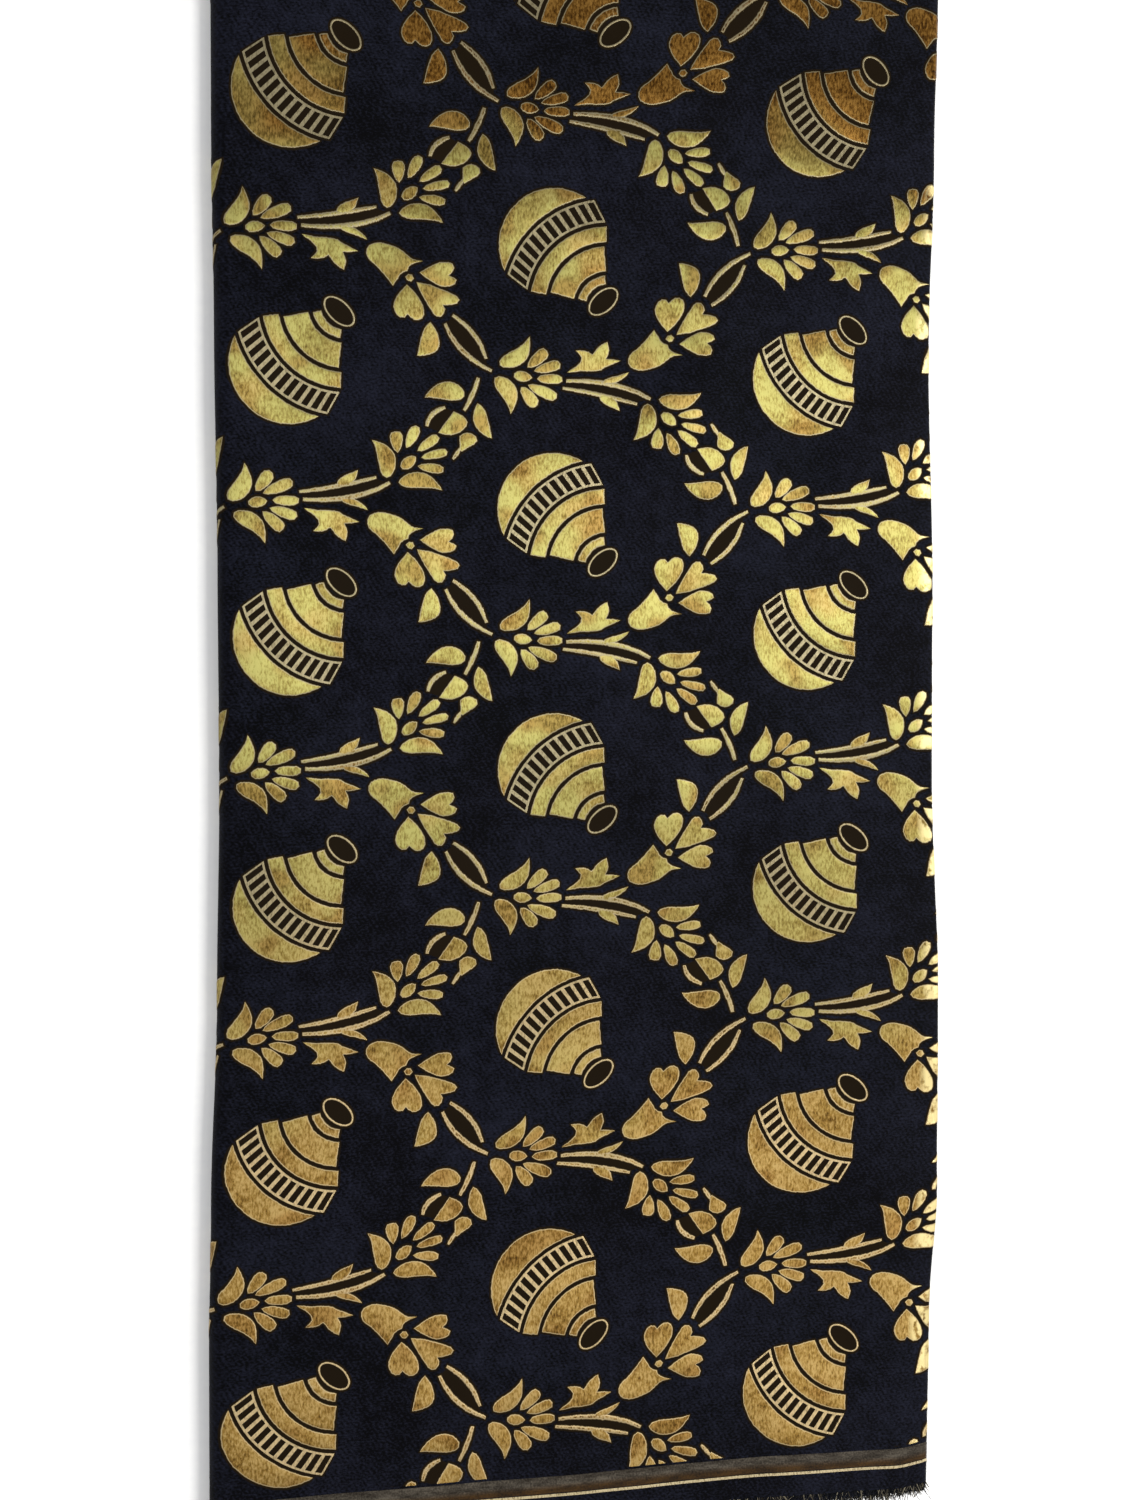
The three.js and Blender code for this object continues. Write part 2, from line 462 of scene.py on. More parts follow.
def goldMaterial():
    m = NodeTree("gold_weft")
    flat = m.loom(1, 1, 1)
    threads = m.bands(flat, "X", gold["threadPeriod"], 1.5)
    patch = m.noise(flat, 70.0, 2.0)
    blotch = m.noise(m.loom(1, 0.7, 1), 330.0, 3.0, 0.6)
    grain = m.noise(m.loom(1, 0.4, 1), 1300.0, 2.0, 0.65)
    tone = m.maths("ADD", m.maths("MULTIPLY", patch, 0.26), m.maths("MULTIPLY", blotch, 0.20))
    tone = m.maths("ADD", tone, m.maths("MULTIPLY", grain, 0.54))
    yellow = m.ramp(tone, [(0.33, gold["rust"]), (0.44, gold["olive"]), (0.55, gold["bright"])])
    copper = m.ramp(tone, [(0.35, gold["copperDeep"]), (0.46, gold["tan"]), (0.57, gold["copper"])])
    brown = m.ramp(tone, [(0.38, gold["brownDeep"]), (0.47, gold["umber"]), (0.58, gold["brown"])])
    along, across = m.add("SeparateXYZ", Vector=flat).outputs[:2]
    # Painted shade: the gold is painted copper near the face selvedge and brown near the doubling fold, where
    # the highlight band falls off, with random patches of the same painted shade for uneven sheen
    shadeZoneAcross = m.maths("ADD", across, m.maths("MULTIPLY", m.maths("SUBTRACT", m.noise(flat, 18.0), 0.5), 0.20))
    nearShadePatches = m.maths("MULTIPLY", m.span(m.noise(flat, 48.0, 1.0), 0.50, 0.66), 0.65)
    farShadePatches = m.maths("MULTIPLY", m.span(m.noise(flat, 58.0, 1.0), 0.52, 0.62), 0.62)
    near = m.span(shadeZoneAcross, *gold["nearEnds"])
    body = m.mix(m.maths("MAXIMUM", near, nearShadePatches), yellow, copper)
    body = m.mix(m.maths("MAXIMUM", m.span(shadeZoneAcross, *gold["farEnds"]), farShadePatches), body, brown)
    # Painted highlight: the gold is painted pale where it turns over the right fold
    before, past = gold["paintedFoldHighlightReach"]
    first, last = foldLegs[2]["end"] - before, foldLegs[2]["end"] + past
    start = m.span(along, first * mm, (first + 3) * mm)
    end = m.span(along, last * mm, (last - 1) * mm)
    paintedFoldHighlight = m.maths("MULTIPLY", m.maths("MULTIPLY", start, end), m.span(blotch, 0.36, 0.50))
    body = m.mix(paintedFoldHighlight, body, hexColour(gold["paintedFoldHighlight"]))
    stepped = m.maths("MULTIPLY", m.maths("SUBTRACT", grain, 0.5), 0.7)  # the threads end unevenly
    edge = m.maths("ADD", m.add("Attribute", {"attribute_name": "edge"}).outputs["Fac"], stepped)
    # Painted light: the rims are painted paler near the face selvedge
    rim = m.mix(near, hexColour(gold["rim"]), hexColour(gold["rimNear"]))
    colour = m.mix(m.span(edge, 0.30, 0.48), body, rim)
    # Painted shade: each float is darkened towards its foot
    colour = m.mix(m.span(edge, 0.68, 0.98), colour, hexColour(gold["foot"]))
    outline = m.span(edge, 1.04, 1.14)
    colour = m.mix(outline, colour, hexColour(gold["outline"]))
    height = m.maths("ADD", m.maths("MULTIPLY", threads, 0.5), m.maths("MULTIPLY", grain, 0.7))
    m.put(m.shader.inputs["Base Color"], colour)
    m.put(m.shader.inputs["Metallic"], m.maths("MULTIPLY", m.maths("SUBTRACT", 1.0, outline), gold["metal"]))
    m.put(m.shader.inputs["Normal"], m.bump(height, 0.5, 0.00010))
    tangent = m.add("Tangent", {"direction_type": "UV_MAP", "uv_map": "loom"})
    m.put(m.shader.inputs["Tangent"], tangent.outputs[0])
    rough = m.maths("ADD", m.maths("MULTIPLY", grain, 0.25), gold["roughness"] - 0.12)
    m.put(m.shader.inputs["Roughness"], m.maths("ADD", rough, m.maths("MULTIPLY", outline, 0.3)))
    m.shader.inputs["Anisotropic"].default_value = gold["anisotropy"]
    m.shader.inputs["Specular IOR Level"].default_value = 0.05
    return m.material


def bandMaterial():
    m = NodeTree("selvedge_band")
    flat = m.loom(1, 1, 1)
    ribs = m.noise(m.loom(0.04, 1, 1), 2400.0, 2.0, 0.6)
    streak = m.noise(m.loom(0.30, 1, 1), 320.0, 2.0, 0.6)
    fleck = m.noise(flat, 1500.0, 2.0, 0.6)
    tone = m.maths("ADD", m.maths("MULTIPLY", streak, 0.45), m.maths("MULTIPLY", fleck, 0.45))
    tone = m.maths("ADD", tone, m.maths("MULTIPLY", ribs, 0.15))
    grey = m.ramp(tone, [(0.40, "#1a140d"), (0.52, "#322d26"), (0.64, "#4c463d")])
    brown = m.ramp(tone, [(0.40, "#150c03"), (0.64, "#3c280d")])
    across = m.add("SeparateXYZ", Vector=flat).outputs[1]
    m.put(m.shader.inputs["Base Color"], m.mix(m.span(across, 0.0098, 0.0116), brown, grey))
    m.put(m.shader.inputs["Normal"], m.bump(ribs, 0.6, 0.00012))
    m.shader.inputs["Roughness"].default_value = 0.6
    m.shader.inputs["Specular IOR Level"].default_value = 0.10
    return m.material


def threadMaterial():
    m = NodeTree("selvedge_thread")
    twist = m.noise(m.loom(1, 0.5, 1), 1600.0, 2.0, 0.6)
    m.put(m.shader.inputs["Base Color"], m.ramp(twist, [(0.34, "#6f5f3c"), (0.54, "#ab9c78")]))
    m.put(m.shader.inputs["Normal"], m.bump(twist, 0.5, 0.00012))
    m.shader.inputs["Roughness"].default_value = 0.5
    m.shader.inputs["Metallic"].default_value = 0.15
    return m.material


def yarnMaterial():
    m = NodeTree("fringe_yarn")
    tone = m.add("Attribute", {"attribute_name": "yarnTone"}).outputs["Fac"]
    fleck = m.noise(m.add("TexCoord").outputs["Object"], 3500.0, 1.0)
    shade = m.maths("ADD", tone, m.maths("MULTIPLY", m.maths("SUBTRACT", fleck, 0.5), 0.3))
    m.put(
        m.shader.inputs["Base Color"],
        m.ramp(shade, [(0.0, "#050608"), (0.62, "#101118"), (0.80, "#4a4336"), (1.0, "#98907a")]),
    )
    m.shader.inputs["Roughness"].default_value = 0.65
    m.shader.inputs["Specular IOR Level"].default_value = 0.1
    return m.material


# The woven ground

def makeCloth():
    width = fold["clothWidth"]
    across = joined(
        [
            spaced(0, 18, 3.0),
            spaced(18, faceLength, 3.6),
            spaced(faceLength, faceLength + doublingArc, 0.4),
            spaced(faceLength + doublingArc, width - 20, 14.0),
            spaced(width - 20, width, 5.0),
        ]
    )
    points, loom, faces = slabGrid(warpStations(), across, -halfSheet, halfSheet)
    cloth = makePiece("satin_cloth", points, faces, loom, satinMaterial())
    return addToFrame(cloth)


cloth = makeCloth()
print("cloth:", len(cloth.data.polygons), "faces")


# The selvedges: a brown band and a thin pale gold line beside each, inside the black strip at the edge

selvedge = {
    "figureEnd": 16.0,  # all from the woven edge
    "bandInner": 15.1,
    "bandOuter": 9.1,
    "lineInner": 8.8,
    "lineOuter": 7.85,
    "rise": 0.07,
    "sink": 0.10,
}


def makeSelvedgeStrip(name, outer, inner, rise, material):
    sList = warpStations()
    width = fold["clothWidth"]
    points, loom, faces = [], [], []
    for vList in (spaced(outer, inner, 2.0), spaced(width - inner, width - outer, 2.0)):
        p, l, f = slabGrid(sList, vList, halfSheet - selvedge["sink"], halfSheet + rise)
        base = sum(len(part) for part in points)
        faces += [[base + corner for corner in face] for face in f]
        points.append(p)
        loom.append(l)
    strip = makePiece(name, np.concatenate(points), faces, np.concatenate(loom), material)
    return addToFrame(strip)


band = makeSelvedgeStrip(
    "selvedge_band", selvedge["bandOuter"], selvedge["bandInner"], selvedge["rise"], bandMaterial()
)
line = makeSelvedgeStrip(
    "selvedge_line", selvedge["lineOuter"], selvedge["lineInner"], 2 * selvedge["rise"], threadMaterial()
)
print("selvedges:", len(band.data.polygons) + len(line.data.polygons), "faces")


# The figure. One unit is a pot with the flowers above it, from a trellis node at the origin.
# Columns of units follow each other along the warp, each one turned over and dropped from the last.

figure = {
    "columnPitch": 93.9,
    "rowPitch": 93.333,
    "drop": 47.8,  # from a column's nodes to the next column's
    "nodeS": 351.2,  # a node of an upright column, on the flat cloth
    "nodeV": 35.2,
    "outline": 0.80,  # dark tie-down line round each shape
    "rim": 0.62,  # pale bound edge inside it
    "lineSink": -0.005,  # heights off the ground, from the outline's outer edge to the gold
    "lineRise": 0.085,
    "rise": 0.135,
    "swell": 0.12,  # how far the floats spread past the drawn outlines
    "wobble": 0.10,  # of a woven outline, either way
    "creaseAngle": 9.0,  # steeper edges are shaded as corners
}

pot = {
    "mouthX": 40.6,
    "mouthY": -66.1,
    "turn": 132.0,  # from the mouth to the base
    "reachBack": 3.0,  # the stripes curve round a point this far behind the mouth
    "ringLong": 6.6,
    "ringShort": 3.8,
    "ringLine": 0.72,
    "neck": (8.5, 11.45, 33.8),  # inner and outer radius, and half-angle
    "upperStripe": (13.05, 21.65, 36.0),
    "lowerStripe": (23.2, 28.55, 38.8),
    "ladder": (30.0, 38.1, 38.2, 32.4),  # with its outer half-angle
    "ladderLine": 0.76,
    "rungShare": 0.38,
    "rungs": 12,
    "bowlInner": 39.5,
    "bowlCentre": 28.6,
    "bowlRadius": 20.3,
    "bowlTurn": 1.5,
}

# Blades: leaves, petals and buds, each from its root to its tip. full is where along it the blade is
# widest, and hook bends it, to the right of its direction where it is positive.
blades = [
    # flower beside the node
    {"root": (3.5, 3.2), "tip": (14.0, 13.7), "width": 5.8, "full": 0.36, "hook": 0.16, "kind": "sepal"},
    {"root": (2.3, -0.8), "tip": (7.3, -13.7), "width": 6.2, "full": 0.36, "hook": -0.16, "kind": "sepal"},
    {"root": (8.1, -0.1), "tip": (15.0, -0.9), "width": 3.8, "full": 0.48, "hook": 0.0, "kind": "bud"},
    {"root": (13.3, 2.7), "tip": (20.3, 8.9), "width": 4.2, "full": 0.66, "hook": 0.0, "kind": "petal"},
    {"root": (15.7, 1.5), "tip": (25.2, 4.4), "width": 3.7, "full": 0.66, "hook": 0.0, "kind": "petal"},
    {"root": (16.8, -1.2), "tip": (26.0, -1.0), "width": 3.4, "full": 0.60, "hook": 0.0, "kind": "petal"},
    {"root": (13.6, -3.5), "tip": (23.8, -7.7), "width": 4.0, "full": 0.66, "hook": 0.0, "kind": "petal"},
    {"root": (11.1, -4.3), "tip": (16.4, -10.9), "width": 4.4, "full": 0.66, "hook": 0.0, "kind": "petal"},
    # leaflets of the stem
    {"root": (40.6, -1.6), "tip": (50.2, 2.4), "width": 2.3, "full": 0.34, "hook": 0.06, "kind": "sepal"},
    {"root": (39.4, -6.4), "tip": (46.8, -11.6), "width": 3.6, "full": 0.40, "hook": -0.08, "kind": "sepal"},
    # flower at the stem's end
    {"root": (61.1, -7.5), "tip": (76.6, -4.4), "width": 5.6, "full": 0.38, "hook": 0.13, "kind": "sepal"},
    {"root": (57.7, -8.9), "tip": (51.9, -21.9), "width": 6.4, "full": 0.38, "hook": -0.15, "kind": "sepal"},
    {"root": (62.0, -12.1), "tip": (67.3, -16.2), "width": 4.1, "full": 0.48, "hook": 0.0, "kind": "bud"},
    {"root": (68.1, -12.9), "tip": (77.1, -11.6), "width": 3.2, "full": 0.64, "hook": 0.0, "kind": "petal"},
    {"root": (69.3, -15.9), "tip": (78.7, -18.0), "width": 3.0, "full": 0.64, "hook": 0.0, "kind": "petal"},
    {"root": (67.9, -18.2), "tip": (75.3, -23.4), "width": 3.5, "full": 0.66, "hook": 0.0, "kind": "petal"},
    {"root": (63.9, -19.2), "tip": (67.9, -26.8), "width": 3.9, "full": 0.68, "hook": 0.0, "kind": "petal"},
    {"root": (60.9, -17.6), "tip": (60.2, -25.0), "width": 4.4, "full": 0.70, "hook": 0.0, "kind": "petal"},
    # leaf above the hearts
    {"root": (72.6, 30.0), "tip": (67.9, 41.9), "width": 7.0, "full": 0.50, "hook": 0.20, "kind": "leaf"},
    # bud and leaves below the stem's end
    {"root": (89.4, -35.2), "tip": (94.4, -23.0), "width": 5.2, "full": 0.46, "hook": -0.10, "kind": "leaf"},
    {"root": (84.8, -38.6), "tip": (70.6, -37.0), "width": 6.6, "full": 0.36, "hook": -0.12, "kind": "sepal"},
]
# How a blade's half-width grows from its root and falls to its tip: powers of the distance from each
bladeEnds = {"sepal": (0.50, 1.0), "bud": (0.70, 0.80), "petal": (1.35, 0.30), "leaf": (0.80, 0.95)}

# Lines: stems and pods, each along one bend between its ends
lines = [
    {"start": (27.4, -1.5), "bend": (46.2, -0.3), "end": (58.0, -7.1), "width": 1.8},
    {"start": (26.1, -4.1), "bend": (39.6, -5.6), "end": (53.2, -8.9), "width": 1.5},
    {"start": (77.8, 30.4), "bend": (82.2, 41.2), "end": (94.4, 46.6), "width": 1.7},
    {"start": (80.4, 27.4), "bend": (89.4, 32.6), "end": (92.4, 42.4), "width": 1.6},
    {"start": (71.3, -26.9), "bend": (71.9, -31.9), "end": (77.8, -33.6), "width": 1.7},
    {"start": (84.6, -32.6), "bend": (88.0, -38.2), "end": (89.6, -44.2), "width": 1.7},
    {"start": (80.5, -15.4), "bend": (82.2, -17.6), "end": (83.2, -19.2), "width": 1.4},
]

# Shapes with corners: each side is a smooth run of points, and the next side starts at its last one
corneredShapes = {
    "tulip": [
        [
            (59.3, 17.8), (54.6, 12.2), (50.4, 8.4), (50.2, 5.0), (53.2, 3.2), (58.0, 3.7), (62.4, 5.7),
            (65.8, 8.4), (69.8, 9.0),
        ],
        [(69.8, 9.0), (66.4, 9.9), (64.7, 11.3)],
        [(64.7, 11.3), (64.3, 12.6)],
        [(64.3, 12.6), (62.2, 13.4), (61.2, 15.0)],
        [(61.2, 15.0), (59.3, 17.8)],
    ],
    "lobedLeaf": [
        [(27.7, 1.5), (33.0, 2.2), (38.9, 2.5), (42.4, 4.3), (47.0, 6.4)],
        [(47.0, 6.4), (44.2, 6.8), (41.8, 6.9)],
        [(41.8, 6.9), (42.9, 9.6), (42.2, 12.9)],
        [(42.2, 12.9), (39.2, 11.2), (36.8, 8.2)],
        [(36.8, 8.2), (34.8, 9.4), (30.8, 9.4)],
        [(30.8, 9.4), (32.9, 6.9), (31.6, 4.4), (27.7, 1.5)],
    ],
    "heart": [
        [(64.2, 17.4), (61.0, 21.0), (59.5, 25.0), (61.0, 28.3), (63.4, 28.8), (64.5, 27.6)],
        [(64.5, 27.6), (67.0, 29.6), (69.9, 28.6), (70.2, 25.4), (67.6, 20.6), (64.2, 17.4)],
    ],
    "trumpet": [
        [(67.7, 16.4), (69.0, 19.6), (71.6, 23.8), (74.2, 27.6), (76.6, 28.0), (77.7, 25.8), (77.1, 24.0)],
        [(77.1, 24.0), (79.8, 23.8), (82.8, 22.6), (81.6, 20.6), (77.4, 18.9), (72.4, 17.2), (67.7, 16.4)],
    ],
    "smallHeart": [
        [(68.6, 13.0), (72.6, 15.7), (76.9, 17.6), (80.6, 16.9), (81.6, 15.0), (79.0, 13.6)],
        [(79.0, 13.6), (80.7, 11.6), (79.6, 9.2), (74.4, 9.7), (68.6, 13.0)],
    ],
    "nub": [[(63.6, 14.6), (64.9, 16.3), (66.6, 15.2), (65.4, 13.4), (63.6, 14.6)]],
    "spade": [
        [
            (82.9, -18.7), (83.1, -21.2), (82.9, -23.5), (85.9, -24.9), (88.8, -23.3), (88.7, -21.2),
            (86.0, -19.6), (83.8, -18.2),
        ],
        [(83.8, -18.2), (82.9, -18.7)],
    ],
    "halfBud": [
        [(75.3, -24.6), (79.8, -23.9), (84.0, -25.6), (85.7, -28.6), (83.6, -31.0), (80.9, -32.2)],
        [(80.9, -32.2), (78.2, -28.6), (75.3, -24.6)],
    ],
}

# Dark ground woven between a pair of lines, as a few points round it
darkFills = [
    [(27.6, -2.4), (40.0, -1.6), (50.0, -3.4), (56.6, -7.0), (53.0, -8.0), (39.4, -5.0), (27.6, -3.6)],
    [(78.4, 30.6), (82.0, 38.4), (92.6, 45.6), (91.4, 40.6), (88.0, 33.6), (80.8, 28.2)],
    [(71.8, -27.0), (73.0, -31.0), (78.0, -33.2), (80.4, -31.8), (75.6, -25.4)],
]


# A smooth run through the given points, with their ends kept
def smoothRun(points, steps=5):
    p = np.asarray(points, float)
    if len(p) < 3:
        return p
    p = np.concatenate([[2 * p[0] - p[1]], p, [2 * p[-1] - p[-2]]])
    t = np.linspace(0, 1, steps + 1)[:-1, None]
    run = [
        0.5 * (2 * b + (c - a) * t + (2 * a - 5 * b + 4 * c - d) * t**2 + (3 * b - a - 3 * c + d) * t**3)
        for a, b, c, d in zip(p, p[1:], p[2:], p[3:])
    ]
    return np.concatenate([*run, [p[-2]]])


# A closed outline with points evenly spaced along it, keeping its sharp corners
def resampled(outline, spacing):
    outline = np.asarray(outline, float)
    ahead = np.roll(outline, -1, 0) - outline
    turn = np.arctan2(ahead[:, 1], ahead[:, 0])
    bend = np.abs((turn - np.roll(turn, 1) + math.pi) % (2 * math.pi) - math.pi)
    corners = list(np.flatnonzero(bend > math.radians(38))) or [0]
    kept = []
    for a, b in zip(corners, corners[1:] + [corners[0] + len(outline)]):
        path = outline[np.arange(a, b + 1) % len(outline)]
        along = np.concatenate([[0], np.cumsum(np.hypot(*np.diff(path, axis=0).T))])
        places = spaced(0, along[-1], spacing)[:-1]
        kept += [[np.interp(place, along, path[:, k]) for k in (0, 1)] for place in places]
    return np.array(kept)


def counterClockwise(outline):
    x, y = np.asarray(outline, float).T
    area = np.sum(x * np.roll(y, -1) - y * np.roll(x, -1))
    return np.asarray(outline)[:: 1 if area > 0 else -1]


def placed(outline, root, turn):
    angle = math.radians(turn)
    spin = np.array([[math.cos(angle), math.sin(angle)], [-math.sin(angle), math.cos(angle)]])
    return np.asarray(outline) @ spin + np.asarray(root)


def bladeOutline(blade):
    dx, dy = np.subtract(blade["tip"], blade["root"])
    length = math.hypot(dx, dy)
    rootPower, tipPower = bladeEnds[blade["kind"]]
    t = (1 - np.cos(np.linspace(0, math.pi, 25))) / 2
    warped = t ** (math.log(rootPower / (rootPower + tipPower)) / math.log(blade["full"]))
    shape = warped**rootPower * (1 - warped) ** tipPower
    half = blade["width"] / 2 * shape / shape.max()
    middle = blade["hook"] * length * 2.6 * (t**3 - t)
    sides = [np.stack([t * length, middle + side * half], -1) for side in (-1, 1)]
    outline = np.concatenate([sides[0], sides[1][-2:0:-1]])
    return placed(outline, blade["root"], math.degrees(math.atan2(dy, dx)))


def lineOutline(stem):
    a, b, c = (np.array(stem[key], float) for key in ("start", "bend", "end"))
    t = np.linspace(0, 1, 15)[:, None]
    path = a * (1 - t) ** 2 + 2 * b * t * (1 - t) + c * t**2
    ahead = np.gradient(path, axis=0)
    normal = np.stack([-ahead[:, 1], ahead[:, 0]], -1) / np.hypot(*ahead.T)[:, None]
    half = stem["width"] / 2 * (0.62 + 0.38 * np.sin(np.linspace(0, math.pi, 15)))[:, None]
    return np.concatenate([path - normal * half, (path + normal * half)[::-1]])


def corneredOutline(sides):
    return np.concatenate([smoothRun(side)[:-1] for side in sides])


# A point of the pot's stripes, by its distance from their centre and its angle off the pot's axis
def potPoint(radius, angle):
    axis = math.radians(pot["turn"])
    turn = axis + np.radians(np.asarray(angle, float))
    x = pot["mouthX"] - pot["reachBack"] * math.cos(axis)
    y = pot["mouthY"] - pot["reachBack"] * math.sin(axis)
    radius = np.asarray(radius, float)
    return np.stack([x + radius * np.cos(turn), y + radius * np.sin(turn)], -1)


def potSector(inner, outer, halfAngle, outerHalfAngle=None):
    angles = np.linspace(-halfAngle, halfAngle, 25)
    outerAngles = angles * (outerHalfAngle or halfAngle) / halfAngle
    return np.concatenate([potPoint(outer, outerAngles), potPoint(inner, angles[::-1])])


# The round base, from the last arc to the bowl's own circle
def potBowl():
    reach, centre, inner = pot["bowlRadius"], pot["bowlCentre"], pot["bowlInner"]
    endAngle = math.acos((inner**2 + centre**2 - reach**2) / (2 * inner * centre))
    ends = math.atan2(inner * math.sin(endAngle), inner * math.cos(endAngle) - centre)
    turns = np.linspace(-ends, ends, 41)
    x, y = centre + reach * np.cos(turns), reach * np.sin(turns)
    outer = potPoint(np.hypot(x, y), np.degrees(np.arctan2(y, x)) + pot["bowlTurn"])
    angles = np.degrees(np.linspace(endAngle, -endAngle, 31)[1:-1]) + pot["bowlTurn"]
    return np.concatenate([outer, potPoint(inner, angles)])


# Collects flat shapes: points are (x, y, height). edge is 0 on gold, 1 where its pale rim ends and 2 on the
# dark line, and spacing is the distance between points of an outline.
class UnitMesh:
    def __init__(self, spacing):
        self.spacing = spacing
        self.points, self.faces, self.edge = [], [], []

    def add(self, ring, height, edge):
        first = len(self.points)
        self.points += [(x, y, height) for x, y in ring]
        self.edge += [edge] * len(ring)
        return list(range(first, first + len(ring)))

    def bridge(self, outer, inner):
        for i in range(len(outer)):
            j = (i + 1) % len(outer)
            self.faces.append([outer[i], outer[j], inner[j], inner[i]])


def normalsOf(outline):
    ahead = np.roll(outline, -1, 0) - outline
    out = np.stack([ahead[:, 1], -ahead[:, 0]], -1)
    out /= np.maximum(np.hypot(*out.T), 1e-9)[:, None]
    both = out + np.roll(out, 1, 0)
    return both / np.maximum(np.hypot(*both.T), 0.7)[:, None]


# How far it is through the shape from each point, straight in from its edge
def thicknessOf(outline, normals):
    a, b = outline, np.roll(outline, -1, 0)
    found = np.full(len(outline), 1e3)
    for i, (point, normal) in enumerate(zip(outline, -normals)):
        d = b - a
        crossed = normal[0] * d[:, 1] - normal[1] * d[:, 0]
        crossed = np.where(np.abs(crossed) < 1e-9, 1e-9, crossed)
        r = a - point
        t = (r[:, 0] * d[:, 1] - r[:, 1] * d[:, 0]) / crossed
        u = (r[:, 0] * normal[1] - r[:, 1] * normal[0]) / crossed
        ok = (t > 1e-3) & (u >= 0) & (u <= 1)
        ok[[i, i - 1]] = False
        if ok.any():
            found[i] = t[ok].min()
    return found


# One shape of gold floats: a closed low pad with its dark line, its pale rim and its gold
def addFloat(unit, outline, middle=0.0):
    outline = counterClockwise(resampled(outline, unit.spacing))
    normals = normalsOf(outline)
    sway = np.sin(outline[:, 0] * 2.9 + 1.3 * np.sin(outline[:, 1] * 1.9)) * np.cos(outline[:, 1] * 2.3 + 0.7)
    outline = outline + normals * (figure["swell"] + figure["wobble"] * sway)[:, None]
    inset = np.minimum(figure["rim"], 0.36 * thicknessOf(outline, normals))[:, None]
    far = unit.add(outline + normals * figure["outline"], figure["lineSink"], 2.0)
    foot = unit.add(outline, figure["lineRise"], 1.0)
    crest = unit.add(outline - normals * inset, figure["rise"], middle)
    unit.bridge(far, foot)
    unit.bridge(foot, crest)
    unit.faces += [crest, far[::-1]]


# Dark ground on its own: a closed low pad
def addDark(unit, outline, rise):
    outline = counterClockwise(resampled(outline, 2.5))
    normals = normalsOf(outline)
    far = unit.add(outline + normals * 0.5, figure["lineSink"], 2.0)
    crest = unit.add(outline - normals * 0.2, rise, 2.0)
    unit.bridge(far, crest)
    unit.faces += [crest, far[::-1]]


# The pot's mouth: an oval line round a dark opening
def addMouth(unit):
    turns = np.linspace(0, 2 * math.pi, 37)[:-1]
    axis = math.radians(pot["turn"])
    along = np.array([math.cos(axis), math.sin(axis)])
    across = np.array([-math.sin(axis), math.cos(axis)])

    def oval(grow):
        x = (pot["ringShort"] + grow) * np.cos(turns)
        y = (pot["ringLong"] + grow) * np.sin(turns)
        return np.array([pot["mouthX"], pot["mouthY"]]) + np.outer(x, along) + np.outer(y, across)

    width = pot["ringLine"]
    low, middle, high = figure["lineSink"], figure["lineRise"], figure["rise"]
    rings = [
        (figure["outline"], low, 2.0),
        (0.0, middle, 1.0),
        (-0.3 * width, high, 0.6),
        (-0.7 * width, high, 0.6),
        (-width, middle, 1.0),
        (-width - 0.35, 0.6 * middle, 2.0),
    ]
    loops = [unit.add(oval(grow), height, edge) for grow, height, edge in rings]
    for outer, inner in zip(loops, loops[1:]):
        unit.bridge(outer, inner)
    unit.faces += [loops[-1], loops[0][::-1]]


# The band of dark windows between pale rungs, on a dark bed
def addLadder(unit):
    inner, outer, innerAngle, outerAngle = pot["ladder"]
    bed = potSector(inner - 0.3, outer + 0.3, innerAngle + 0.5, outerAngle + 0.5)
    addDark(unit, bed, figure["lineRise"] * 0.8)
    rail = pot["ladderLine"]
    radii = [inner, inner + rail, outer - rail, outer]
    share = pot["rungShare"]
    columns = [-1.0]
    for k in range(pot["rungs"]):
        low = -1 + 2 * k / pot["rungs"]
        columns += [low + share / pot["rungs"], low + (2 - share) / pot["rungs"], low + 2 / pot["rungs"]]

    def point(radius, place):
        t = (radius - inner) / (outer - inner)
        return potPoint(radius, place * (innerAngle + (outerAngle - innerAngle) * t))

    levels = [
        [unit.add([point(radius, place) for place in columns], height, 0.7) for radius in radii]
        for height in (figure["lineSink"], figure["rise"])
    ]
    under, top = levels

    def isOpen(row, column):
        return row == 1 and column % 3 == 1

    for row in range(3):
        for column in range(len(columns) - 1):
            if isOpen(row, column):
                continue
            c = [(row, column), (row + 1, column), (row + 1, column + 1), (row, column + 1)]
            unit.faces.append([top[i][j] for i, j in c])
            unit.faces.append([under[i][j] for i, j in reversed(c)])
            around = [(row, column - 1), (row + 1, column), (row, column + 1), (row - 1, column)]
            for side, (i, j) in enumerate(around):
                if isOpen(i, j) or not (0 <= i < 3 and 0 <= j < len(columns) - 1):
                    (a, p), (b, q) = c[side], c[(side + 1) % 4]
                    unit.faces.append([top[b][q], top[a][p], under[a][p], under[b][q]])


def addTrellis(unit):
    for fill in darkFills:
        addDark(unit, fill, figure["lineRise"] * 0.8)
    for blade in blades:
        addFloat(unit, bladeOutline(blade))
    for sides in corneredShapes.values():
        addFloat(unit, corneredOutline(sides))
    for stem in lines:
        addFloat(unit, lineOutline(stem), 0.38)


def addPot(unit):
    for part in ("neck", "upperStripe", "lowerStripe"):
        addFloat(unit, potSector(*pot[part]), 0.25 if part == "neck" else 0.0)
    addFloat(unit, potBowl())
    addMouth(unit)
    addLadder(unit)


